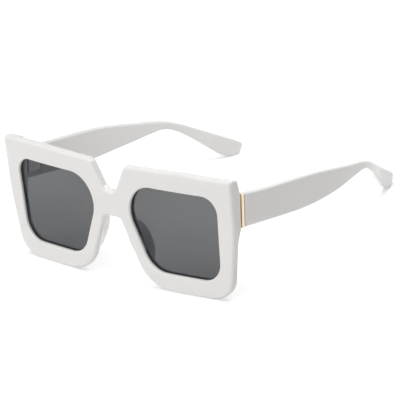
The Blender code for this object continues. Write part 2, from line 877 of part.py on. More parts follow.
def tube(points, radius):
    """A bmesh tube with filled ends along a list of points."""
    curve = bpy.data.curves.new("tube", "CURVE")
    curve.dimensions = "3D"
    curve.bevel_depth = radius
    curve.bevel_resolution = WIRE_RESOLUTION
    curve.use_fill_caps = True
    spline = curve.splines.new("POLY")
    spline.points.add(len(points) - 1)
    for point, place_on_path in zip(spline.points, points):
        point.co = (*place_on_path, 1)
    return curve_to_bmesh(curve)


def make_core(side, temple):
    start = temple_start()
    wire = tube(core_path(side, start + CLEARANCE), CORE_RADIUS)
    side.part("temple_core", wire, HINGE_METAL, side.pivot)
    path = core_path(side, start + CLEARANCE)
    path[0] = (path[0][0], path[0][1] - OVERRUN, path[0][2])
    last, before = Vector(path[-1]), Vector(path[-2])
    path[-1] = tuple(last + (last - before).normalized() * CLEARANCE)
    add_boolean(temple, side.cutter("core_bore", tube(path, CORE_RADIUS + CLEARANCE), side.pivot))


def stand_on_origin(root, parts):
    """Moves the model so that the middle of its footprint is the origin."""
    bpy.context.view_layer.update()
    depsgraph = bpy.context.evaluated_depsgraph_get()
    points = [
        obj.matrix_world @ vertex.co
        for obj in parts.objects
        if obj.type == "MESH"
        for vertex in obj.evaluated_get(depsgraph).data.vertices
    ]
    low = [min(point[axis] for point in points) for axis in range(3)]
    high = [max(point[axis] for point in points) for axis in range(3)]
    root.location = (-(low[0] + high[0]) / 2, -(low[1] + high[1]) / 2, -low[2])
    bpy.context.view_layer.update()


def main():
    for obj in list(bpy.data.objects):
        bpy.data.objects.remove(obj)
    parts = bpy.data.collections.new("square_sunglasses")
    cutters = bpy.data.collections.new("cutters")
    bpy.context.scene.collection.children.link(parts)
    bpy.context.scene.collection.children.link(cutters)
    root = bpy.data.objects.new("square_sunglasses", None)
    parts.objects.link(root)
    front = make_front(root, parts)
    for name in SIDES:
        side = Side(name, parts, cutters, root)
        add_end_piece(side, front)
        make_lens(side, front, root)
        make_nose_pad(side, root)
        make_front_leaf(side, front)
        make_hinge_screw(side)
        temple = make_temple(side)
        trim = make_trim(side)
        make_temple_leaf(side, temple, trim)
        make_core(side, temple)
    stand_on_origin(root, parts)


main()
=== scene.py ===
"""Dresses a packed pair of square sunglasses: smooth glossy rims and temples, tinted lenses, metal
end trims and hinges, and a plain white studio seen from the photograph's side.

The wearer looks along -Y, +X is the wearer's left, and the rims and temple tips stand on Z = 0.
"""

import json
import math

import bmesh
import bpy
from bpy.props import FloatProperty, FloatVectorProperty, PointerProperty
from mathutils import Matrix, Vector


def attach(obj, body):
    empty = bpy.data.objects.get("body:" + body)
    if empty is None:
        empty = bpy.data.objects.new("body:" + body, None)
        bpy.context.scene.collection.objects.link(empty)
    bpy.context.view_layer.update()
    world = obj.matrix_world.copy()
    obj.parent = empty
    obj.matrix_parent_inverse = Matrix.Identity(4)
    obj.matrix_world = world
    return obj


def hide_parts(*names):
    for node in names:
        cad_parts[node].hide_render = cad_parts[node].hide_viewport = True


bl_info = {
    "name": "Square Sunglasses",
    "version": (1, 0, 0),
    "blender": (4, 5, 0),
    "location": "View3D > Sidebar > Sunglasses",
    "description": "Builds the visible pieces of a pair of square sunglasses and their studio",
    "category": "Object",
}

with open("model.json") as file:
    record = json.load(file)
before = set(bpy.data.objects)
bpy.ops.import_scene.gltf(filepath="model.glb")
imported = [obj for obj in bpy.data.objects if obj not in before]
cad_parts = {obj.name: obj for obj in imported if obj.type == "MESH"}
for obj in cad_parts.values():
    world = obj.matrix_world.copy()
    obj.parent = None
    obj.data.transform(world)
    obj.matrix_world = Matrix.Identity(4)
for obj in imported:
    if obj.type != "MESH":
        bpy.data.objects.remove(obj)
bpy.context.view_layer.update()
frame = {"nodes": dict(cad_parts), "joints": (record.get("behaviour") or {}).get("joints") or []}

SIDES = {"left": 1, "right": -1}
MERGE_DISTANCE = 0.000001
# How far a cutting form reaches past the surface that it cuts
OVERRUN = 0.002
FLAT_ANGLE = math.radians(0.05)
CREASE_ANGLE = math.radians(50)
SMOOTH_ANGLE = math.radians(35)
FACE_WEIGHT = 100

# Steps in a quarter arc, across a rounded edge, round a circle and between two curve points
ARC_STEPS = 24
ROUND_STEPS = 6
CIRCLE_STEPS = 48
CURVE_STEPS = 10
BEND_SPACING = 0.0015

KNUCKLES = 5
# Edges this near the rim's outline, in radii of its rounding, are taken as the rim's own
RIM_REACH = 1.5

# Corners of half the front: half widths out, front heights up, and radius in front heights
OUTER_CORNER_SHARES = (
    (0.068, 0.538, 0.045),
    (0.254, 0.023, 0.300),
    (0.490, 0.000, 1.000),
    (0.707, 0.000, 1.000),
    (0.924, 0.020, 0.185),
    (0.992, 0.550, 1.500),
    (1.000, 0.990, 0.036),
    (0.640, 1.000, 3.000),
    (0.147, 0.984, 0.060),
    (0.043, 0.745, 0.084),
)
APERTURE_CORNER_SHARES = (
    (0.876, 0.840, 0.135),
    (0.067, 0.840, 0.233),
    (0.303, 0.147, 0.217),
    (0.851, 0.147, 0.172),
)
# A nose pad's middle in half widths and front heights, and what makes its ends and sides full
PAD_CENTRE_SHARES = (0.1754, 0.356)
PAD_END_POWER = 2.2
PAD_SIDE_POWER = 0.92

# The temple from the side: lengths along it, and heights in front heights or in drops to the table
ARM_TOP_SHARES = (
    (0.000, 0.536),
    (0.117, 0.457),
    (0.350, 0.414),
    (0.460, 0.345),
    (0.584, 0.212),
    (0.672, 0.122),
    (0.730, 0.019),
)
DROP_TOP_SHARES = ((0.780, -0.100), (0.850, -0.293), (0.930, -0.516))
TIP_SHARES = (
    (0.987, -0.674),
    (1.000, -0.750),
    (0.995, -0.872),
    (0.982, -0.965),
    (0.957, -0.990),
)
DROP_BOTTOM_SHARES = ((0.920, -0.925), (0.860, -0.662), (0.800, -0.392), (0.752, -0.218))
ARM_BOTTOM_SHARES = (
    (0.700, -0.190),
    (0.640, -0.243),
    (0.511, -0.427),
    (0.347, -0.570),
    (0.161, -0.560),
    (0.000, -0.513),
)
# How far the temple has come in towards the head: lengths along it, and shares of the inset
INSET_SHARES = (
    (0.000, 0.000),
    (0.120, 0.002),
    (0.340, 0.003),
    (0.490, 0.045),
    (0.600, 0.147),
    (0.680, 0.236),
    (0.740, 0.340),
    (0.800, 0.487),
    (0.870, 0.692),
    (0.930, 0.832),
    (1.000, 0.985),
)

# Heights between which the lens grows denser towards the bottom, in front heights. This is painted
# shade that stands for the shaded floor seen through the lens
LENS_SHADE_HEIGHT_SHARES = (0.15, 0.62)
# Brightness of the patches in a finish, as shares of its own colour
PLASTIC_SHADE, PLASTIC_POLISH = 0.955, 1.03
LENS_DUST = 2.5
METAL_SHADE, METAL_POLISH = 0.8, 1.15
# Where the distant lamps shine from
LAMP_DIRECTIONS = {"top": (0, 0, 1), "front": (0, -1, 0.3), "side": (-0.8, -0.8, 0.4)}


def length(name, description, default):
    """A size property in metres."""
    return FloatProperty(
        name=name, description=description, default=default, unit="LENGTH", precision=5
    )


def turn(name, description, degrees):
    """An angle property."""
    return FloatProperty(
        name=name, description=description, default=math.radians(degrees), unit="ROTATION"
    )


def amount(name, description, default, low=0.0, high=1.0):
    """A share or a strength."""
    return FloatProperty(name=name, description=description, default=default, min=low, max=high)


def colour(name, description, default):
    """A colour with its opacity."""
    settings = {"size": 4, "subtype": "COLOR", "min": 0.0, "max": 1.0}
    return FloatVectorProperty(name=name, description=description, default=default, **settings)


class FrontSizes(bpy.types.PropertyGroup):
    width: length("Width", "Width of the front", 0.147)
    height: length("Height", "Height of the front", 0.060)
    thickness: length("Thickness", "Thickness of the front", 0.0042)
    wrap_radius: length("Wrap radius", "Radius that the front is bent to round the face", 0.540)
    lean: turn("Lean", "How far the front leans back", 3.76)
    edge_round: length("Edge round", "Radius of the rim's outer edges in front", 0.0014)
    back_round: length("Back round", "Radius of the rim's outer edges behind", 0.0015)
    aperture_round: length("Aperture round", "Radius of the edges round a lens", 0.0009)
    lens_thickness: length("Lens thickness", "Thickness of a lens", 0.0016)
    lens_recess: length("Lens recess", "Depth of a lens behind the front's face", 0.0014)
    lens_bite: length("Lens bite", "How far a lens reaches into its groove", 0.0009)
    groove_gap: length("Groove gap", "Gap between a lens and its groove", 0.00005)
    pad_length: length("Pad length", "Length of a nose pad", 0.0212)
    pad_width: length("Pad width", "Width of a nose pad", 0.0068)
    pad_height: length("Pad height", "How far a nose pad stands off the rim", 0.0057)
    pad_tilt: turn("Pad tilt", "How far a nose pad turns with the side of the nose", 25.5)
    pad_lean_share: amount("Pad lean", "How far a pad leans outwards, in pad heights", 0.21)
    pad_foot: length("Pad foot", "How far a pad's foot reaches over the rim's edge", 0.0027)
    pad_tail_share: amount("Pad tail", "How much longer a pad's lower half is drawn out", 0.20)


class HingeSizes(bpy.types.PropertyGroup):
    height: length("Height", "Height of the hinge's middle over the table", 0.0430)
    mitre_lean: turn("Mitre lean", "How far the joint of front and temple leans back", 9.0)
    step: length("Step", "How far the end piece stands behind the rim", 0.0018)
    depth: length("End piece depth", "How deep the end piece reaches into the rim", 0.0042)
    margin: length("Margin", "How far the end piece reaches past the temple's front end", 0.0006)
    rise: length("Rise", "Height of the end piece's top over the hinge's middle", 0.0152)
    taper: length("Taper", "How far the end piece has come forward at its top", 0.0018)
    tail: length("Tail", "Height over which the end piece runs out below", 0.0100)
    tail_depth: length("Tail depth", "How far the end piece has come forward at its foot", 0.0004)
    tail_inset: length("Tail inset", "How far its foot keeps inside the end piece's face", 0.0024)
    length: length("Length", "Length of the five knuckles together", 0.0100)
    clearance: length("Clearance", "Gap between pieces that meet", 0.0003)
    knuckle_radius: length("Knuckle radius", "Radius of a knuckle", 0.0015)
    neck: length("Neck", "Width of the neck between a knuckle and its leaf", 0.0020)
    leaf_thickness: length("Leaf thickness", "Thickness of a hinge leaf", 0.0008)
    leaf_margin: length("Leaf margin", "How far a leaf reaches past its knuckles", 0.0003)
    leaf_corner: length("Leaf corner", "Radius of a leaf's corners", 0.0007)
    front_reach: length("Front leaf reach", "Reach of the front leaf from the axis", 0.0044)
    temple_reach: length("Temple leaf reach", "Reach of the temple leaf from the axis", 0.0105)
    pin_radius: length("Pin radius", "Radius of the hinge screw", 0.00065)
    pin_head: length("Pin head", "Radius of the hinge screw's head", 0.0013)
    pin_head_height: length("Pin head height", "Height of the hinge screw's head", 0.0005)
    screw_radius: length("Screw radius", "Radius of a leaf screw", 0.0005)
    screw_head: length("Screw head", "Radius of a leaf screw's head", 0.0009)
    screw_head_height: length("Screw head height", "Depth of a countersunk head", 0.0004)
    screw_length: length("Screw length", "Length of a leaf screw", 0.0024)
    slot_width: length("Slot width", "Width of a screw's slot", 0.0003)
    slot_depth: length("Slot depth", "Depth of a screw's slot", 0.00025)
    screw_spread_share: amount("Screw spread", "Place of a leaf screw, in half leaves", 0.56)


class TempleSizes(bpy.types.PropertyGroup):
    length: length("Length", "Length from the mitre to the tip", 0.137)
    front_height: length("Front height", "Height of the temple at the hinge", 0.0155)
    thickness: length("Thickness", "Thickness of the temple", 0.0038)
    inset: length("Inset", "How far the tip comes in towards the head", 0.0216)
    side_step: length("Side step", "How far the temple's face lies inside the front's end", 0.0007)
    edge_round: length("Edge round", "Radius of the temple's long edges", 0.0011)
    trim_depth: length("Trim depth", "Length of the metal end trim", 0.0024)
    trim_proud: length("Trim proud", "How far the trim stands proud of the temple", 0.00015)
    trim_round: length("Trim round", "Radius of the trim's edges", 0.0003)
    trim_crown: length("Trim crown", "How far the trim's face is rounded out", 0.00030)
    trim_groove: length("Trim groove", "Width of the stepped groove at the trim's front", 0.00070)
    trim_groove_depth: length("Groove depth", "Depth of the groove at the trim's front", 0.00095)


class Finishes(bpy.types.PropertyGroup):
    plastic: colour("Plastic", "Colour of the front and the temples", (0.812, 0.800, 0.784, 1.0))
    lens: colour("Lens", "Colour of the tinted lenses", (0.027, 0.031, 0.036, 1.0))
    # The lens holds back more light at the bottom than at the top. The extra at the bottom is
    # painted shade of the shaded floor behind it
    lens_density_with_shade: amount("Density", "Light that a lens face holds back at the bottom", 0.69)
    lens_density_top: amount("Top density", "Light that a lens face holds back at the top", 0.635)
    gold: colour("Gold", "Colour of the end trims", (0.80, 0.67, 0.50, 1.0))
    steel: colour("Steel", "Colour of the hinges and screws", (0.62, 0.62, 0.63, 1.0))


class StudioSettings(bpy.types.PropertyGroup):
    floor: colour("Floor", "Colour of the floor", (0.86, 0.86, 0.86, 1.0))
    floor_size: length("Floor size", "Width of the floor", 6.0)
    floor_glow: amount("Floor glow", "Brightness that the floor adds as a background", 0.32, 0, 2)
    sky: amount("Sky", "Strength of the light from all round", 0.21, 0, 5)
    top_light: amount("Top light", "Strength of the soft lamp overhead", 1.5, 0, 20)
    front_light: amount("Front light", "Strength of the soft lamp in front", 1.1, 0, 20)
    side_light: amount("Side light", "Strength of the soft lamp at the front's right", 0.56, 0, 20)
    inner_light: FloatProperty(
        name="Inner light",
        description="Power of the small lamp above the temples",
        default=0.118,
        min=0.0,
        unit="POWER",
    )
    softness: turn("Softness", "Width of the sky that each distant lamp covers", 60.0)
    inner_lamp_size: length("Inner lamp size", "Width of the small lamp", 0.080)
    inner_lamp_at: FloatVectorProperty(
        name="Inner lamp position",
        description="Where the small lamp hangs, facing down",
        size=3,
        default=(0.050, 0.050, 0.180),
        unit="LENGTH",
    )
    azimuth: turn("Azimuth", "Angle of the camera round the glasses", 45.0)
    elevation: turn("Elevation", "Angle of the camera over the floor", 22.5729)
    roll: turn("Roll", "How far the camera is turned about its own line", -8.7015)
    distance: length("Distance", "Distance from the camera to what it looks at", 1.5)
    focal: FloatProperty(name="Lens", description="Focal length in millimetres", default=279.295)
    look_at: FloatVectorProperty(
        name="Look at",
        description="Point that the camera looks at",
        default=(0.0017797, -0.0135609, 0.0173856),
        subtype="XYZ",
        unit="LENGTH",
        precision=5,
    )


def front_sizes():
    return bpy.context.scene.sunglasses_front


def hinge_sizes():
    return bpy.context.scene.sunglasses_hinge


def temple_sizes():
    return bpy.context.scene.sunglasses_temple


def finishes():
    return bpy.context.scene.sunglasses_finish


def studio():
    return bpy.context.scene.sunglasses_studio


# Outlines and plates


def rounded_outline(corners):
    """Points of a closed outline whose corners (x, z, radius) are arcs."""
    points = []
    for index, (x, z, radius) in enumerate(corners):
        corner = Vector((x, z))
        before = (Vector(corners[index - 1][:2]) - corner).normalized()
        after = (Vector(corners[(index + 1) % len(corners)][:2]) - corner).normalized()
        half_angle = before.angle(after) / 2
        tangent = radius / math.tan(half_angle)
        centre = corner + (before + after).normalized() * (radius / math.sin(half_angle))
        start = corner + before * tangent - centre
        sweep = (corner + after * tangent - centre).angle_signed(start)
        steps = max(2, math.ceil(ARC_STEPS * abs(sweep) / (math.pi / 2)))
        for step in range(steps + 1):
            arm = start.copy()
            arm.rotate(Matrix.Rotation(sweep * step / steps, 2))
            points.append(tuple(centre + arm))
    return points


def smooth_points(points):
    """Points of a smooth curve through the given ones (Catmull-Rom)."""
    knots = [Vector(point) for point in points]
    knots = [2 * knots[0] - knots[1]] + knots + [2 * knots[-1] - knots[-2]]
    result = []
    for a, b, c, d in zip(knots, knots[1:], knots[2:], knots[3:]):
        for step in range(CURVE_STEPS):
            t = step / CURVE_STEPS
            bend = (2 * a - 5 * b + 4 * c - d) * t * t + (3 * b - 3 * c + d - a) * t * t * t
            result.append(tuple((2 * b + (c - a) * t + bend) / 2))
    return result + [points[-1]]


def interpolate(dense, value):
    """Reads a dense list of (place, amount) points at one place."""
    for (x0, y0), (x1, y1) in zip(dense, dense[1:]):
        if value <= x1:
            return y0 + (y1 - y0) * (value - x0) / (x1 - x0)
    return dense[-1][1]


def offset_outline(points, distance):
    """Moves each point of a counter-clockwise outline outwards."""
    result = []
    for index, point in enumerate(points):
        along = Vector(points[(index + 1) % len(points)]) - Vector(points[index - 1])
        normal = Vector((along.y, -along.x)).normalized()
        result.append(tuple(Vector(point) + normal * distance))
    return result


def new_object(name, data):
    """An object in the scene's own collection."""
    obj = bpy.data.objects.new(name, data)
    bpy.context.scene.collection.objects.link(obj)
    return obj


def evaluated_bmesh(obj):
    """A bmesh of an object as its fill or its modifiers make it."""
    depsgraph = bpy.context.evaluated_depsgraph_get()
    mesh = bpy.data.meshes.new_from_object(obj.evaluated_get(depsgraph))
    bm = bmesh.new()
    bm.from_mesh(mesh)
    bpy.data.meshes.remove(mesh)
    return bm


def weld(bm):
    """Merges points that lie in the same place."""
    bmesh.ops.remove_doubles(bm, verts=bm.verts[:], dist=MERGE_DISTANCE)


def plate(outlines, thickness):
    """A bmesh plate centred on the XY plane, from outlines of which the later ones are holes."""
    curve = bpy.data.curves.new("outline", "CURVE")
    curve.dimensions = "2D"
    curve.fill_mode = "BOTH"
    curve.extrude = thickness / 2
    for outline in outlines:
        spline = curve.splines.new("POLY")
        spline.points.add(len(outline) - 1)
        spline.use_cyclic_u = True
        for point, (x, y) in zip(spline.points, outline):
            point.co = (x, y, 0, 1)
    holder = new_object("outline", curve)
    bm = evaluated_bmesh(holder)
    bpy.data.objects.remove(holder)
    bpy.data.curves.remove(curve)
    weld(bm)
    bmesh.ops.dissolve_limit(
        bm, angle_limit=FLAT_ANGLE, verts=bm.verts[:], edges=bm.edges[:], delimit={"NORMAL"}
    )
    return bm


def bevel(bm, edges, width, steps, clamp):
    """Rounds the given edges, and may keep the rounds from running into each other."""
    bmesh.ops.bevel(
        bm,
        geom=edges,
        offset=width,
        offset_type="OFFSET",
        segments=steps,
        profile=0.5,
        affect="EDGES",
        clamp_overlap=clamp,
    )


def round_edges(bm, width, belongs):
    """Rounds those edges of a flat plate's two faces whose middles belong."""
    edges = []
    for edge in bm.edges:
        start, end = (vertex.co for vertex in edge.verts)
        if abs(start.z - end.z) < MERGE_DISTANCE and edge.calc_face_angle(0) > CREASE_ANGLE:
            if belongs((start + end) / 2):
                edges.append(edge)
    bevel(bm, edges, width, ROUND_STEPS, clamp=False)


def soften(bm, width, steps):
    """Rounds all creased edges of a small solid."""
    edges = [edge for edge in bm.edges if edge.calc_face_angle(0) > CREASE_ANGLE]
    bevel(bm, edges, width, steps, clamp=True)


def cut_plane(bm, point, normal, clear_outer=False):
    """Cuts every face along a plane, and may clear away the side that its normal points to."""
    bmesh.ops.bisect_plane(
        bm,
        geom=bm.verts[:] + bm.edges[:] + bm.faces[:],
        dist=MERGE_DISTANCE,
        plane_co=point,
        plane_no=normal,
        clear_outer=clear_outer,
    )


def slice_across(bm, spacing=BEND_SPACING):
    """Adds edges square to X, evenly spaced, so that the plate can bend there."""
    # A plane that cuts a concave face in several places would leave a stray sheet across it
    large = [face for face in bm.faces if len(face.verts) > 4]
    bmesh.ops.triangulate(bm, faces=large)
    places = [vertex.co.x for vertex in bm.verts]
    low, high = min(places), max(places)
    count = max(2, round((high - low) / spacing))
    for index in range(1, count):
        cut_plane(bm, (low + (high - low) * index / count, 0, 0), (1, 0, 0))


def box(low, high):
    """A bmesh box between two corners."""
    bm = bmesh.new()
    low, high = Vector(low), Vector(high)
    place = Matrix.LocRotScale((low + high) / 2, None, high - low)
    bmesh.ops.create_cube(bm, size=1, matrix=place)
    return bm


def side_box(side, low, high):
    """A box between two corners that are given for the left side."""
    left, right = sorted((SIDES[side] * low[0], SIDES[side] * high[0]))
    return box((left, *low[1:]), (right, *high[1:]))


def turned(profile):
    """A bmesh solid turned about Z from (radius, z) points that start and end on the axis."""
    bm = bmesh.new()
    points = [bm.verts.new((radius, 0, z)) for radius, z in profile]
    edges = [bm.edges.new(pair) for pair in zip(points, points[1:])]
    bmesh.ops.spin(
        bm,
        geom=points + edges,
        axis=(0, 0, 1),
        cent=(0, 0, 0),
        angle=2 * math.pi,
        steps=CIRCLE_STEPS,
        use_merge=True,
    )
    weld(bm)
    return bm


def moved(bm, matrix):
    bmesh.ops.transform(bm, matrix=matrix, verts=bm.verts[:])
    return bm


def to_mesh(name, bm):
    bmesh.ops.recalc_face_normals(bm, faces=bm.faces[:])
    mesh = bpy.data.meshes.new(name)
    bm.to_mesh(mesh)
    bm.free()
    return mesh


def carve(bm, tool, operation="DIFFERENCE"):
    """The first solid with the second one cut out of it or joined to it."""
    body = new_object("carved", to_mesh("carved", bm))
    cutter = new_object("cutter", to_mesh("cutter", tool))
    modifier = body.modifiers.new("carve", "BOOLEAN")
    modifier.operation = operation
    modifier.object = cutter
    result = evaluated_bmesh(body)
    for obj in (body, cutter):
        data = obj.data
        bpy.data.objects.remove(obj)
        bpy.data.meshes.remove(data)
    return result


def show(name, bm, body, node, slot, place=Matrix.Identity(4)):
    """Seats a piece at its place, lets it ride on a body and stand for a CAD node."""
    mesh = to_mesh(name, moved(bm, seat_shift() @ place))
    mesh.materials.append(SLOT_MATERIALS[slot]())
    mesh.shade_smooth()
    mesh.set_sharp_from_angle(angle=SMOOTH_ANGLE)
    piece = new_object(name, mesh)
    weighted = piece.modifiers.new("even shading", "WEIGHTED_NORMAL")
    weighted.keep_sharp = True
    weighted.weight = FACE_WEIGHT
    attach(piece, body)
    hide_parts(node)


# Places that several pieces share


def half_width():
    return front_sizes().width / 2


def front_surface(x, z):
    """How far behind the XZ plane the front's outer surface lies."""
    sizes = front_sizes()
    return x * x / (2 * sizes.wrap_radius) + z * math.tan(sizes.lean)


def temple_face_x():
    return half_width() - temple_sizes().side_step


def axis_offset():
    """Distance from the hinge's axis to the mitre and to the temple's inner face."""
    return hinge_sizes().knuckle_radius + hinge_sizes().clearance


def axis_x():
    return temple_face_x() - temple_sizes().thickness - axis_offset()


def hinge_matrix(side):
    """The frame of one hinge: its axis is Z, and Y runs back along the temple."""
    sizes = hinge_sizes()
    mitre_y = front_surface(temple_face_x(), sizes.height) + front_sizes().thickness + sizes.step
    return (
        Matrix.Translation((SIDES[side] * axis_x(), mitre_y, sizes.height))
        @ Matrix.Rotation(-sizes.mitre_lean, 4, "X")
        @ Matrix.Translation((0, axis_offset(), 0))
    )


def seat_shift():
    """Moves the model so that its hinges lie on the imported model's joints."""
    joint = next(row for row in frame["joints"] if row["name"] == "fold_left")
    return Matrix.Translation(Vector(joint["pos_m"]) - hinge_matrix("left").translation)


def shape_to_front(bm):
    """Bends a flat piece to the front's wrap and leans it back."""
    for vertex in bm.verts:
        vertex.co.y += front_surface(vertex.co.x, vertex.co.z)
    return bm


def front_plate(outlines, near, far, rounds=()):
    """A plate of the front between two depths behind its face, still unbent in the XZ plane."""
    bm = plate(outlines, far - near)
    for width, belongs in rounds:
        round_edges(bm, width, belongs)
    middle = Matrix.Translation((0, (near + far) / 2, 0))
    return moved(bm, middle @ Matrix.Rotation(math.pi / 2, 4, "X"))


def scaled_corners(shares, sign=1):
    """Corners in metres from a table of shares, mirrored by a sign of -1."""
    height = front_sizes().height
    return [(sign * x * half_width(), z * height, radius * height) for x, z, radius in shares]


def outer_outline():
    mirrored = scaled_corners(reversed(OUTER_CORNER_SHARES), -1)
    return rounded_outline(scaled_corners(OUTER_CORNER_SHARES) + mirrored)


def aperture_outline(sign):
    return rounded_outline(scaled_corners(APERTURE_CORNER_SHARES[::sign], sign))


def near_outline(outline, reach):
    """A test for points that lie close to an outline."""
    points = [Vector(point) for point in outline]

    def belongs(place):
        here = place.xy
        for start, end in zip(points, points[1:] + points[:1]):
            along = end - start
            if along.length_squared == 0:
                continue
            share = max(0, min(1, (here - start).dot(along) / along.length_squared))
            if (here - start - along * share).length < reach:
                return True
        return False

    return belongs


def drop_to_table():
    """How far below the hinge's axis the temple's tip ends, square to the temple."""
    sizes = hinge_sizes()
    reach = TIP_SHARES[-1][0] * temple_sizes().length
    return (sizes.height - reach * math.sin(sizes.mitre_lean)) / math.cos(sizes.mitre_lean)


def temple_edge_points():
    """The temple's side outline from its front top corner round the tip, as (along, up)."""
    drop = drop_to_table()
    height = temple_sizes().front_height
    arm_top = [(s, h * height) for s, h in ARM_TOP_SHARES]
    drop_part = [(s, h * drop) for s, h in DROP_TOP_SHARES + TIP_SHARES + DROP_BOTTOM_SHARES]
    arm_bottom = [(s, h * height) for s, h in ARM_BOTTOM_SHARES]
    return [(s * temple_sizes().length, h) for s, h in arm_top + drop_part + arm_bottom]


def temple_edge(top):
    """The temple's top or bottom edge near the hinge as dense (along, up) points."""
    rows = ARM_TOP_SHARES if top else ARM_BOTTOM_SHARES[::-1]
    sizes = temple_sizes()
    return smooth_points([(s * sizes.length, h * sizes.front_height) for s, h in rows])


def to_hinge_frame(bm, side):
    """Turns a plate drawn as (along, up, out) into the hinge's frame, bends and mirrors it."""
    insets = smooth_points(INSET_SHARES)
    sizes = temple_sizes()
    for vertex in bm.verts:
        along, up, out = vertex.co
        inset = sizes.inset * interpolate(insets, along / sizes.length)
        x = axis_offset() + sizes.thickness / 2 + out - inset
        vertex.co = (SIDES[side] * x, along - axis_offset(), up)
    return bm


def temple_start():
    """Where the plastic begins behind the mitre: past the trim and two small gaps."""
    return hinge_sizes().clearance * 2 + temple_sizes().trim_depth


def end_piece_heights():
    """Bottom and top of the end piece, a little past the temple's front end."""
    height, margin = temple_sizes().front_height, hinge_sizes().margin
    return ARM_BOTTOM_SHARES[-1][1] * height - margin, ARM_TOP_SHARES[0][1] * height + margin


def leaf_half_height():
    return hinge_sizes().length / 2 + hinge_sizes().leaf_margin


def screw_places(point, lay):
    """The frames of a leaf's two screws, over and under a point (x, y) of its middle."""
    reach = leaf_half_height() * hinge_sizes().screw_spread_share
    heights = {"upper": reach, "lower": -reach}
    return {name: Matrix.Translation((*point, z)) @ lay for name, z in heights.items()}


# Finishes


def new_group(name, numbers, outputs):
    """A shader node group that takes a vector and named numbers, and gives out numbers."""
    group = bpy.data.node_groups.new(name, "ShaderNodeTree")
    group.interface.new_socket(name="Vector", in_out="INPUT", socket_type="NodeSocketVector")
    for label, default in numbers.items():
        socket = group.interface.new_socket(
            name=label, in_out="INPUT", socket_type="NodeSocketFloat"
        )
        socket.default_value = default
    for label in outputs:
        group.interface.new_socket(name=label, in_out="OUTPUT", socket_type="NodeSocketFloat")
    start = group.nodes.new("NodeGroupInput")
    return group, start.outputs, group.nodes.new("NodeGroupOutput")


def feed(tree, node, values):
    """Links or sets a node's inputs, which are given by name or by number."""
    for socket, value in values.items():
        if isinstance(value, bpy.types.NodeSocket):
            tree.links.new(value, node.inputs[socket])
        else:
            node.inputs[socket].default_value = value


def add_node(tree, kind, values=None, **settings):
    node = tree.nodes.new(kind)
    for name, value in settings.items():
        setattr(node, name, value)
    feed(tree, node, values or {})
    return node


def noise(tree, vector, scale, detail, roughness=0.5):
    values = {"Vector": vector, "Scale": scale, "Detail": detail, "Roughness": roughness}
    return add_node(tree, "ShaderNodeTexNoise", values).outputs["Fac"]


def spread(tree, value, low=0.0, high=1.0, to_low=0.0, to_high=1.0):
    """Turns values from low to high into values from to_low to to_high."""
    values = {"Value": value, "From Min": low, "From Max": high}
    values |= {"To Min": to_low, "To Max": to_high}
    return add_node(tree, "ShaderNodeMapRange", values).outputs["Result"]


def maths(tree, operation, first, second):
    node = add_node(tree, "ShaderNodeMath", {0: first, 1: second}, operation=operation)
    return node.outputs[0]


def product(tree, first, second):
    return maths(tree, "MULTIPLY", first, second)


def stretched(tree, vector, scale):
    node = add_node(tree, "ShaderNodeMapping", {"Vector": vector, "Scale": scale})
    return node.outputs["Vector"]


def handling_marks():
    """Faint finger marks and fine hairlines, as a mask and as a roughness."""
    group = bpy.data.node_groups.get("handling_marks")
    if group:
        return group
    numbers = {"Mark Size": 60.0, "Smooth": 0.2, "Marked": 0.3}
    group, start, end = new_group("handling_marks", numbers, ("Marks", "Roughness"))
    vector, size = start["Vector"], start["Mark Size"]
    finer, across = 18.0, 14.0
    smears = noise(group, vector, size, detail=3.0, roughness=0.6)
    smears = spread(group, smears, low=0.45, high=0.75)
    specks = noise(group, vector, product(group, size, finer), detail=2.0)
    specks = spread(group, specks, low=0.5, high=0.8, to_low=0.5)
    drawn_out = stretched(group, vector, (1.0, across, across))
    hairlines = noise(group, drawn_out, size, detail=4.0, roughness=0.7)
    hairlines = spread(group, hairlines, low=0.62, high=0.72, to_high=0.35)
    marks = maths(group, "MAXIMUM", product(group, smears, specks), hairlines)
    rough = spread(group, marks, to_low=start["Smooth"], to_high=start["Marked"])
    feed(group, end, {"Marks": marks, "Roughness": rough})
    return group


def worn_edges():
    """A mask of the outermost edges, broken up where hands and cases rub them."""
    group = bpy.data.node_groups.get("worn_edges")
    if group:
        return group
    numbers = {"Patch Size": 300.0, "Sharpness": 0.56}
    group, start, end = new_group("worn_edges", numbers, ("Wear",))
    bent = group.nodes.new("ShaderNodeNewGeometry").outputs["Pointiness"]
    edge = spread(group, bent, start["Sharpness"], high=0.72)
    patches = noise(group, start["Vector"], start["Patch Size"], detail=3.0, roughness=0.6)
    patches = spread(group, patches, low=0.4, high=0.65)
    feed(group, end, {"Wear": product(group, edge, patches)})
    return group


def surface_ripple():
    """Height of the very shallow ripple and pitting of a moulded, polished or brushed surface."""
    group = bpy.data.node_groups.get("surface_ripple")
    if group:
        return group
    numbers = {"Ripple Size": 250.0, "Grain Size": 4000.0, "Grain Share": 0.3}
    group, start, end = new_group("surface_ripple", numbers, ("Height",))
    ripple = noise(group, start["Vector"], start["Ripple Size"], detail=2.0, roughness=0.4)
    grain = noise(group, start["Vector"], start["Grain Size"], detail=2.0, roughness=0.6)
    grain = product(group, grain, start["Grain Share"])
    feed(group, end, {"Height": maths(group, "ADD", ripple, grain)})
    return group


def start_material(name):
    """A new material with its shader, and the coordinates that its patterns follow."""
    material = bpy.data.materials.new(name)
    material.use_nodes = True
    tree = material.node_tree
    vector = add_node(tree, "ShaderNodeTexCoord").outputs["Object"]
    return material, tree, tree.nodes["Principled BSDF"], vector


def add_marks(tree, shader, vector, size, smooth, marked):
    """Roughens a surface where it was handled, and gives back the mask of the marks."""
    values = {"Vector": vector, "Mark Size": size, "Smooth": smooth, "Marked": marked}
    marks = add_node(tree, "ShaderNodeGroup", values, node_tree=handling_marks())
    feed(tree, shader, {"Roughness": marks.outputs["Roughness"]})
    return marks.outputs["Marks"]


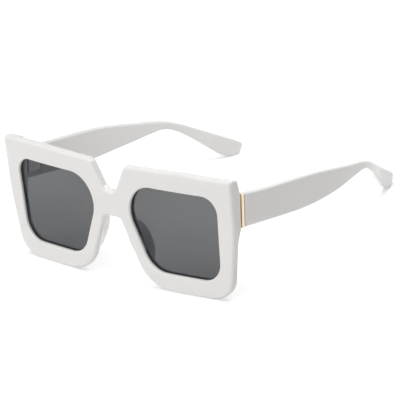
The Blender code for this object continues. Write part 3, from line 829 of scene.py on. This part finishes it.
def wear_mask(tree, vector, patch_size):
    values = {"Vector": vector, "Patch Size": patch_size}
    return add_node(tree, "ShaderNodeGroup", values, node_tree=worn_edges()).outputs["Wear"]


def add_relief(tree, shader, pattern, distance, strength):
    """Ripples a surface by the pattern that the surface_ripple group makes from its inputs."""
    ripple = add_node(tree, "ShaderNodeGroup", pattern, node_tree=surface_ripple())
    values = {"Strength": strength, "Distance": distance, "Height": ripple.outputs["Height"]}
    bump = add_node(tree, "ShaderNodeBump", values)
    feed(tree, shader, {"Normal": bump.outputs["Normal"]})


def shade_of(color, share):
    """A colour made darker or brighter."""
    return tuple(min(1.0, channel * share) for channel in color[:3]) + (1.0,)


def tinted(tree, base, other, mask, share):
    """The base colour, with part of another laid over it where the mask is."""
    mix = add_node(tree, "ShaderNodeMix", data_type="RGBA")
    base_socket, other_socket = (socket for socket in mix.inputs if socket.type == "RGBA")
    factor = product(tree, mask, share)
    feed(tree, mix, {"Factor": factor})
    for socket, value in ((base_socket, base), (other_socket, other)):
        if isinstance(value, bpy.types.NodeSocket):
            tree.links.new(value, socket)
        else:
            socket.default_value = value
    return next(socket for socket in mix.outputs if socket.type == "RGBA")


def plastic_material():
    """Glossy moulded plastic: slight cloudiness, faint marks and softly polished edges."""
    material = bpy.data.materials.get("glossy_white_plastic")
    if material:
        return material
    material, tree, shader, vector = start_material("glossy_white_plastic")
    base = tuple(finishes().plastic)
    shaded = shade_of(base, PLASTIC_SHADE)
    cloud = spread(tree, noise(tree, vector, scale=45.0, detail=2.0), low=0.35, high=0.7)
    marks = add_marks(tree, shader, vector, size=70.0, smooth=0.17, marked=0.34)
    wear = wear_mask(tree, vector, patch_size=350.0)
    color = tinted(tree, base, shaded, cloud, share=0.35)
    color = tinted(tree, color, shaded, marks, share=0.25)
    color = tinted(tree, color, shade_of(base, PLASTIC_POLISH), wear, share=0.5)
    pattern = {"Vector": vector, "Ripple Size": 160.0}
    add_relief(tree, shader, pattern, distance=0.00003, strength=0.5)
    values = {"IOR": 1.49, "Coat Weight": 0.25, "Coat Roughness": 0.06}
    feed(tree, shader, {"Base Color": color} | values)
    return material


def lens_material():
    """Grey tinted lens that shows what is behind it, with faint smears on its faces. It is made
    denser towards the bottom as painted shade of the shaded floor seen through it.
    """
    material = bpy.data.materials.get("smoke_grey_lens")
    if material:
        return material
    material, tree, shader, vector = start_material("smoke_grey_lens")
    base = tuple(finishes().lens)
    marks = add_marks(tree, shader, vector, size=55.0, smooth=0.03, marked=0.12)
    color = tinted(tree, base, shade_of(base, LENS_DUST), marks, share=0.5)
    pattern = {"Vector": vector, "Ripple Size": 40.0, "Grain Share": 0.05}
    add_relief(tree, shader, pattern, distance=0.00001, strength=0.2)
    # Painted shade: the lens grows denser towards the bottom, standing in for the shaded floor
    # seen through it
    height = add_node(tree, "ShaderNodeSeparateXYZ", {"Vector": vector}).outputs["Z"]
    low, high = (front_sizes().height * share for share in LENS_SHADE_HEIGHT_SHARES)
    densities = finishes().lens_density_with_shade, finishes().lens_density_top
    shade_graded_density = spread(tree, height, low, high, *densities)
    values = {"Specular IOR Level": 0.0, "Coat Weight": 0.15, "Coat Roughness": 0.02}
    feed(tree, shader, {"Base Color": color, "Alpha": shade_graded_density} | values)
    return material


def metal_material(name, color, smooth, marked, brush):
    """Metal with fine hairlines and rubbed edges, from its roughness clean and marked."""
    material = bpy.data.materials.get(name)
    if material:
        return material
    material, tree, shader, vector = start_material(name)
    base = tuple(color)
    brushed = stretched(tree, vector, brush)
    marks = add_marks(tree, shader, brushed, size=220.0, smooth=smooth, marked=marked)
    wear = wear_mask(tree, vector, patch_size=900.0)
    result = tinted(tree, base, shade_of(base, METAL_SHADE), marks, share=0.6)
    result = tinted(tree, result, shade_of(base, METAL_POLISH), wear, share=0.8)
    pattern = {"Vector": brushed, "Ripple Size": 900.0, "Grain Size": 5000.0, "Grain Share": 0.6}
    add_relief(tree, shader, pattern, distance=0.000002, strength=0.4)
    feed(tree, shader, {"Base Color": result, "Metallic": 1.0})
    return material


def gold_material():
    brush = (1.0, 1.0, 0.15)
    return metal_material("polished_gold_trim", finishes().gold, 0.14, 0.26, brush)


def steel_material():
    brush = (1.0, 1.0, 4.0)
    return metal_material("brushed_hinge_metal", finishes().steel, 0.28, 0.38, brush)


SLOT_MATERIALS = {
    "white_plastic": plastic_material,
    "grey_lens": lens_material,
    "gold_trim": gold_material,
    "hinge_metal": steel_material,
}


# The pieces


class SUNGLASSES_OT_front(bpy.types.Operator):
    """Builds the front: both rims, the bridge, the end pieces and the lens grooves."""

    bl_idname = "sunglasses.front"
    bl_label = "Front"

    def execute(self, context):
        sizes = front_sizes()
        outer = outer_outline()
        apertures = [aperture_outline(sign) for sign in SIDES.values()]
        on_rim = near_outline(outer, sizes.edge_round * RIM_REACH)
        rounds = [
            (sizes.aperture_round, lambda place: not on_rim(place)),
            (sizes.edge_round, lambda place: on_rim(place) and place.z > 0),
            (sizes.back_round, lambda place: on_rim(place) and place.z < 0),
        ]
        bm = front_plate([outer] + apertures, 0, sizes.thickness, rounds)
        slice_across(bm)
        shape_to_front(bm)
        near = sizes.lens_recess - sizes.groove_gap
        far = sizes.lens_recess + sizes.lens_thickness + sizes.groove_gap
        for side, sign in SIDES.items():
            bm = self.add_end_piece(bm, side)
            bite = sizes.lens_bite + sizes.groove_gap
            groove = front_plate([offset_outline(aperture_outline(sign), bite)], near, far)
            slice_across(groove)
            bm = carve(bm, shape_to_front(groove))
        show("front_shell", bm, "front", "front_frame", "white_plastic")
        return {"FINISHED"}

    def add_end_piece(self, bm, side):
        """Thickens one end behind the rim, runs it out above and mitres it for the temple."""
        sizes, sign = hinge_sizes(), SIDES[side]
        low, high = end_piece_heights()
        face = -axis_offset()
        front = face - sizes.depth
        inner, outer = -axis_offset(), temple_face_x() - axis_x()
        foot = low - sizes.tail
        side_view = [
            (front, foot),
            (face - sizes.tail_depth, foot),
            (face, low),
            (face, high),
            (face - sizes.taper, sizes.rise),
            (front, sizes.rise),
        ]
        block = plate([side_view], outer - inner)
        cut_plane(block, (0, low, 0), (0, 1, 0))
        for vertex in block.verts:
            if vertex.co.y < low - MERGE_DISTANCE and vertex.co.z > 0:
                vertex.co.z -= sizes.tail_inset
        soften(block, sizes.clearance, ROUND_STEPS // 2)
        stand = Matrix(((0, 0, sign, 0), (1, 0, 0, 0), (0, 1, 0, 0), (0, 0, 0, 1)))
        shift = Matrix.Translation((sign * (inner + outer) / 2, 0, 0))
        place = hinge_matrix(side)
        bm = carve(bm, moved(block, place @ shift @ stand), "UNION")
        spare = sizes.clearance
        half = leaf_half_height() + spare
        floor = face - sizes.leaf_thickness - spare
        end = sizes.front_reach + spare, face + OVERRUN, half
        bm = carve(bm, moved(side_box(side, (inner - OVERRUN, floor, -half), end), place))
        end = outer + OVERRUN, face + OVERRUN * 2, high
        return carve(bm, moved(side_box(side, (inner, face, low), end), place))


class SUNGLASSES_OT_lenses(bpy.types.Operator):
    """Builds the two tinted lenses in their grooves."""

    bl_idname = "sunglasses.lenses"
    bl_label = "Lenses"

    def execute(self, context):
        sizes = front_sizes()
        for side, sign in SIDES.items():
            outline = offset_outline(aperture_outline(sign), sizes.lens_bite)
            far = sizes.lens_recess + sizes.lens_thickness
            bm = front_plate([outline], sizes.lens_recess, far)
            slice_across(bm)
            shape_to_front(bm)
            show(f"lens_glass_{side}", bm, "front", f"lens_{side}", "grey_lens")
        return {"FINISHED"}


class SUNGLASSES_OT_nose_pads(bpy.types.Operator):
    """Builds the two nose pads on the back of the rims."""

    bl_idname = "sunglasses.nose_pads"
    bl_label = "Nose pads"

    def execute(self, context):
        sizes = front_sizes()
        across, up = PAD_CENTRE_SHARES
        for side, sign in SIDES.items():
            bm = self.pad_form()
            for vertex in bm.verts:
                vertex.co.x += sign * sizes.pad_lean_share * vertex.co.y
            centre = (sign * across * half_width(), sizes.thickness, up * sizes.height)
            tilt = Matrix.Rotation(-sign * sizes.pad_tilt, 4, "Y")
            moved(bm, Matrix.Translation(centre) @ tilt)
            shape_to_front(bm)
            show(f"pad_shell_{side}", bm, "front", f"nose_pad_{side}", "white_plastic")
        return {"FINISHED"}

    def pad_form(self):
        """A long moulded pad on the XZ plane: blunt ends, full sides and a foot below them."""
        sizes, bm = front_sizes(), bmesh.new()
        rings = []
        for step in range(CIRCLE_STEPS + 1):
            along = -math.cos(math.pi * (step + 0.5) / (CIRCLE_STEPS + 1))
            full = math.sqrt(1 - abs(along) ** PAD_END_POWER)
            reach = sizes.pad_length / 2 * (1 + sizes.pad_tail_share * max(0, -along) ** 2)
            half, height = full * sizes.pad_width / 2, full * sizes.pad_height
            ring = []
            for turn_step in range(CIRCLE_STEPS + 1):
                angle = math.pi * turn_step / CIRCLE_STEPS
                out = math.copysign(abs(math.cos(angle)) ** PAD_SIDE_POWER, math.cos(angle))
                up = height * math.sin(angle) - sizes.pad_foot * (1 - math.sin(angle)) ** 2
                ring.append(bm.verts.new((half * out, up, along * reach)))
            rings.append(ring)
        for lower, upper in zip(rings, rings[1:]):
            for index in range(len(lower)):
                bm.faces.new((lower[index - 1], lower[index], upper[index], upper[index - 1]))
        bm.faces.new(rings[0])
        bm.faces.new(rings[-1])
        return bm


class SUNGLASSES_OT_temples(bpy.types.Operator):
    """Builds the two temples, wide at the hinge and turned down and in at the tip."""

    bl_idname = "sunglasses.temples"
    bl_label = "Temples"

    def execute(self, context):
        sizes, start = temple_sizes(), temple_start()
        outline = smooth_points(temple_edge_points())[::-1]
        for side in SIDES:
            bm = plate([outline], sizes.thickness)
            cut_plane(bm, (start, 0, 0), (-1, 0, 0), clear_outer=True)
            bmesh.ops.holes_fill(bm, edges=[edge for edge in bm.edges if edge.is_boundary])
            round_edges(bm, sizes.edge_round, lambda place: place.x > start + MERGE_DISTANCE)
            slice_across(bm)
            show_on_temple(f"temple_shell_{side}", bm, side, f"temple_{side}", "white_plastic")
        return {"FINISHED"}


def show_on_temple(name, bm, side, node, slot):
    """Bends and mirrors a plate of the temple, lets the hinge leaf into it and shows it."""
    bm = carve(to_hinge_frame(bm, side), leaf_pocket(side))
    show(name, bm, f"{side}_temple", node, slot, hinge_matrix(side))


def leaf_pocket(side):
    """The pocket for the temple's hinge leaf, in the hinge's frame."""
    sizes, face = hinge_sizes(), axis_offset()
    spare = sizes.clearance
    half = leaf_half_height() + spare
    end = face + sizes.leaf_thickness + spare, sizes.temple_reach + spare, half
    return side_box(side, (face - OVERRUN, -sizes.knuckle_radius - OVERRUN, -half), end)


class SUNGLASSES_OT_trims(bpy.types.Operator):
    """Builds the gold end trims at the front ends of the temples."""

    bl_idname = "sunglasses.trims"
    bl_label = "End trims"

    def execute(self, context):
        sizes, near = temple_sizes(), hinge_sizes().clearance
        far, proud = near + sizes.trim_depth, sizes.trim_proud
        tops = [interpolate(temple_edge(True), place) + proud for place in (near, far)]
        bottoms = [interpolate(temple_edge(False), place) - proud for place in (near, far)]
        outline = [(near, bottoms[0]), (far, bottoms[1]), (far, tops[1]), (near, tops[0])]
        centre = (tops[0] + bottoms[0]) / 2
        for side in SIDES:
            bm = plate([outline], sizes.thickness + proud * 2)
            soften(bm, sizes.trim_round, ROUND_STEPS)
            slice_across(bm, spacing=sizes.trim_round / 3)
            for vertex in bm.verts:
                sunk = self.sunk_by(vertex.co.x - near)
                vertex.co.z -= math.copysign(sunk, vertex.co.z)
                if abs(vertex.co.y - centre) > sizes.thickness:
                    vertex.co.y -= math.copysign(sunk / 2, vertex.co.y - centre)
            show_on_temple(f"end_trim_{side}", bm, side, f"temple_trim_{side}", "gold_trim")
        return {"FINISHED"}

    def sunk_by(self, along):
        """How far the trim's surface lies below its highest line, a distance behind its front."""
        sizes = temple_sizes()
        if along < sizes.trim_groove:
            return sizes.trim_groove_depth
        reach = (sizes.trim_depth - sizes.trim_groove) / 2
        share = (along - sizes.trim_groove) / reach - 1
        return sizes.trim_crown * share * share


def knuckle_spans(first):
    """Bottom and top of every second knuckle along the axis, from the first one given."""
    sizes = hinge_sizes()
    height = (sizes.length - sizes.clearance * (KNUCKLES - 1)) / KNUCKLES
    spans = []
    for index in range(first, KNUCKLES, 2):
        low = index * (height + sizes.clearance) - sizes.length / 2
        spans.append((low, low + height))
    return spans


def knuckle(low, high, reach):
    """A knuckle about Z, with a neck that ends a reach away along -Y."""
    sizes = hinge_sizes()
    radius, half_neck = sizes.knuckle_radius, sizes.neck / 2
    start = -math.acos(half_neck / radius)
    outline = [(-half_neck, -reach), (half_neck, -reach)]
    for step in range(CIRCLE_STEPS + 1):
        angle = start + (math.pi - 2 * start) * step / CIRCLE_STEPS
        outline.append((radius * math.cos(angle), radius * math.sin(angle)))
    return moved(plate([outline], high - low), Matrix.Translation((0, 0, (low + high) / 2)))


def leaf_plate(low, high):
    """A hinge plate in the XY plane with its face at Z = 0."""
    sizes = hinge_sizes()
    (x0, y0), (x1, y1) = low, high
    corners = [(x0, y0), (x1, y0), (x1, y1), (x0, y1)]
    outline = rounded_outline([(x, y, sizes.leaf_corner) for x, y in corners])
    bm = plate([outline], sizes.leaf_thickness)
    return moved(bm, Matrix.Translation((0, 0, -sizes.leaf_thickness / 2)))


def countersunk(spare, top):
    """A countersunk screw with its head's face at Z = 0, or the hole for it."""
    sizes = hinge_sizes()
    head, radius = sizes.screw_head + spare, sizes.screw_radius + spare
    end = -sizes.screw_length - spare
    seat = -sizes.screw_head_height
    return turned([(0, top), (head, top), (head, 0), (radius, seat), (radius, end), (0, end)])


def slotted(bm, head, top):
    """Cuts the driver's slot across a screw's head."""
    sizes = hinge_sizes()
    reach, half = head + OVERRUN, sizes.slot_width / 2
    return carve(bm, box((-reach, -half, top - sizes.slot_depth), (reach, half, top + OVERRUN)))


def hinge_leaf(bm, spans, turn_about, places):
    """A leaf with its knuckles joined on, bored for the pin and for its two screws."""
    sizes = hinge_sizes()
    for low, high in spans:
        shape = moved(knuckle(low, high, axis_offset() + sizes.leaf_thickness / 2), turn_about)
        bm = carve(bm, shape, "UNION")
    radius = sizes.pin_radius + sizes.clearance
    half = sizes.length / 2 + OVERRUN
    bm = carve(bm, turned([(0, half), (radius, half), (radius, -half), (0, -half)]))
    screw_gap = sizes.clearance / 3
    for place in places.values():
        bm = carve(bm, moved(countersunk(screw_gap, OVERRUN), place))
    weld(bm)
    bmesh.ops.dissolve_degenerate(bm, dist=MERGE_DISTANCE, edges=bm.edges[:])
    return bm


class SUNGLASSES_OT_hinges(bpy.types.Operator):
    """Builds the hinge leaves, their screws and the hinge screws."""

    bl_idname = "sunglasses.hinges"
    bl_label = "Hinges"

    def execute(self, context):
        for side, sign in SIDES.items():
            self.front_leaf(side, sign)
            self.temple_leaf(side, sign)
            self.hinge_screw(side)
        return {"FINISHED"}

    def front_leaf(self, side, sign):
        sizes, half = hinge_sizes(), leaf_half_height()
        quarter = Matrix.Rotation(-math.pi / 2, 4, "X")
        lay = Matrix.Translation((0, -axis_offset(), 0)) @ quarter
        xs = sorted((-sign * sizes.knuckle_radius, sign * sizes.front_reach))
        flat = leaf_plate((xs[0], -half), (xs[1], half))
        middle = sign * (sizes.knuckle_radius + sizes.front_reach) / 2
        places = screw_places((middle, 0), lay)
        leaf = hinge_leaf(moved(flat, lay), knuckle_spans(0), Matrix.Identity(4), places)
        self.finish_leaf(side, leaf, "front", "front_leaf", places)

    def temple_leaf(self, side, sign):
        sizes, half = hinge_sizes(), leaf_half_height()
        quarter = Matrix.Rotation(-sign * math.pi / 2, 4, "Y")
        lay = Matrix.Translation((sign * axis_offset(), 0, 0)) @ quarter
        flat = leaf_plate((-half, -sizes.knuckle_radius), (half, sizes.temple_reach))
        middle = (sizes.knuckle_radius + sizes.temple_reach) / 2
        places = screw_places((0, middle), lay)
        outwards = Matrix.Rotation(sign * math.pi / 2, 4, "Z")
        leaf = hinge_leaf(moved(flat, lay), knuckle_spans(1), outwards, places)
        self.finish_leaf(side, leaf, f"{side}_temple", "temple_leaf", places)

    def finish_leaf(self, side, leaf, body, name, places):
        place = hinge_matrix(side)
        show(f"{name}_plate_{side}", leaf, body, f"hinge_{name}_{side}", "hinge_metal", place)
        for end, seat in places.items():
            screw = slotted(countersunk(0, 0), hinge_sizes().screw_head, 0)
            piece, node = f"{name}_{end}_screw_shell_{side}", f"{name}_screw_{end}_{side}"
            show(piece, screw, body, node, "hinge_metal", place @ seat)

    def hinge_screw(self, side):
        sizes = hinge_sizes()
        end = sizes.length / 2
        seat = end + sizes.clearance
        top = seat + sizes.pin_head_height
        crown = sizes.pin_head_height / 3
        profile = [
            (0, top),
            (sizes.pin_head - crown, top),
            (sizes.pin_head, top - crown),
            (sizes.pin_head, seat),
            (sizes.pin_radius, seat),
            (sizes.pin_radius, -end),
            (0, -end),
        ]
        screw = slotted(turned(profile), sizes.pin_head, top)
        name, node = f"hinge_pin_{side}", f"hinge_screw_{side}"
        show(name, screw, "front", node, "hinge_metal", hinge_matrix(side))


class SUNGLASSES_OT_cores(bpy.types.Operator):
    """Gives the stiffening wires inside the temples their metal."""

    bl_idname = "sunglasses.cores"
    bl_label = "Temple cores"

    def execute(self, context):
        for side in SIDES:
            node = frame["nodes"][f"temple_core_{side}"]
            node.data.materials.clear()
            node.data.materials.append(steel_material())
        return {"FINISHED"}


class SUNGLASSES_OT_studio(bpy.types.Operator):
    """Sets the white floor, the soft lamps, the surrounding light and the camera."""

    bl_idname = "sunglasses.studio"
    bl_label = "Studio"

    def execute(self, context):
        context.scene.view_settings.view_transform = "Standard"
        self.make_floor()
        self.make_sky(context.scene)
        for name, towards in LAMP_DIRECTIONS.items():
            self.make_lamp(f"{name}_lamp", getattr(studio(), f"{name}_light"), towards)
        self.make_inner_lamp()
        self.make_camera(context.scene)
        return {"FINISHED"}

    def background_share(self, tree):
        """1 for what the camera, a reflection or a clear surface shows, and 0 for light."""
        path = tree.nodes.new("ShaderNodeLightPath")
        seen = maths(tree, "MAXIMUM", path.outputs["Is Camera Ray"], path.outputs["Is Glossy Ray"])
        return maths(tree, "MAXIMUM", seen, path.outputs["Is Transmission Ray"])

    def make_floor(self):
        half = studio().floor_size / 2
        bm = bmesh.new()
        bmesh.ops.create_grid(bm, x_segments=1, y_segments=1, size=half)
        floor = new_object("studio_floor", to_mesh("studio_floor", bm))
        material = bpy.data.materials.new("studio_floor")
        material.use_nodes = True
        material.cycles.emission_sampling = "NONE"
        tree = material.node_tree
        tree.nodes.clear()
        diffuse = add_node(tree, "ShaderNodeBsdfDiffuse", {"Color": tuple(studio().floor)})
        strength = product(tree, self.background_share(tree), studio().floor_glow)
        glow = add_node(tree, "ShaderNodeEmission", {"Strength": strength})
        parts = {0: diffuse.outputs[0], 1: glow.outputs[0]}
        both = add_node(tree, "ShaderNodeAddShader", parts)
        add_node(tree, "ShaderNodeOutputMaterial", {"Surface": both.outputs[0]})
        floor.data.materials.append(material)

    def make_sky(self, scene):
        world = bpy.data.worlds.new("studio_sky")
        world.use_nodes = True
        tree = world.node_tree
        strength = spread(tree, self.background_share(tree), to_low=studio().sky)
        values = {"Color": (1.0, 1.0, 1.0, 1.0), "Strength": strength}
        feed(tree, tree.nodes["Background"], values)
        scene.world = world

    def make_inner_lamp(self):
        """A small soft lamp hanging over the space between the temples."""
        data = bpy.data.lights.new("inner_lamp", "AREA")
        data.energy = studio().inner_light
        data.size = studio().inner_lamp_size
        lamp = new_object("inner_lamp", data)
        lamp.location = studio().inner_lamp_at
        lamp.visible_camera = False

    def make_lamp(self, name, strength, towards):
        """A distant soft lamp that shines from a direction."""
        data = bpy.data.lights.new(name, "SUN")
        data.energy = strength
        data.angle = studio().softness
        lamp = new_object(name, data)
        lamp.rotation_mode = "QUATERNION"
        lamp.rotation_quaternion = Vector(towards).to_track_quat("Z", "Y")

    def make_camera(self, scene):
        settings = studio()
        around, over = settings.azimuth, settings.elevation
        level = Vector((math.cos(around), math.sin(around), 0))
        back = Vector((level.y, -level.x, 0)) * math.cos(over)
        back.z = math.sin(over)
        above = back.cross(level)
        right = level * math.cos(settings.roll) + above * math.sin(settings.roll)
        up = back.cross(right)
        data = bpy.data.cameras.new("camera")
        data.lens = settings.focal
        data.clip_end = settings.floor_size * 2
        camera = new_object("camera", data)
        turned_to = Matrix((right, up, back)).transposed().to_4x4()
        at = Vector(settings.look_at) + back * settings.distance
        camera.matrix_world = Matrix.Translation(at) @ turned_to
        scene.camera = camera


PROPERTY_GROUPS = {
    "sunglasses_front": FrontSizes,
    "sunglasses_hinge": HingeSizes,
    "sunglasses_temple": TempleSizes,
    "sunglasses_finish": Finishes,
    "sunglasses_studio": StudioSettings,
}
OPERATORS = (
    SUNGLASSES_OT_front,
    SUNGLASSES_OT_lenses,
    SUNGLASSES_OT_nose_pads,
    SUNGLASSES_OT_temples,
    SUNGLASSES_OT_trims,
    SUNGLASSES_OT_hinges,
    SUNGLASSES_OT_cores,
    SUNGLASSES_OT_studio,
)


class SUNGLASSES_PT_panel(bpy.types.Panel):
    """Lists the pieces of the sunglasses and their settings."""

    bl_idname = "SUNGLASSES_PT_panel"
    bl_label = "Square sunglasses"
    bl_space_type = "VIEW_3D"
    bl_region_type = "UI"
    bl_category = "Sunglasses"

    def draw(self, context):
        layout = self.layout
        for operator in OPERATORS:
            layout.operator(operator.bl_idname)
        for name, group in PROPERTY_GROUPS.items():
            column = layout.column(align=True)
            column.label(text=group.__name__)
            for prop in group.__annotations__:
                column.prop(getattr(context.scene, name), prop)


CLASSES = tuple(PROPERTY_GROUPS.values()) + OPERATORS + (SUNGLASSES_PT_panel,)


def register():
    for cls in CLASSES:
        bpy.utils.register_class(cls)
    for name, group in PROPERTY_GROUPS.items():
        setattr(bpy.types.Scene, name, PointerProperty(type=group))


def unregister():
    for name in PROPERTY_GROUPS:
        delattr(bpy.types.Scene, name)
    for cls in reversed(CLASSES):
        bpy.utils.unregister_class(cls)


def main():
    register()
    bpy.ops.sunglasses.front()
    bpy.ops.sunglasses.lenses()
    bpy.ops.sunglasses.nose_pads()
    bpy.ops.sunglasses.temples()
    bpy.ops.sunglasses.trims()
    bpy.ops.sunglasses.hinges()
    bpy.ops.sunglasses.cores()
    bpy.ops.sunglasses.studio()


if __name__ == "__main__":
    main()
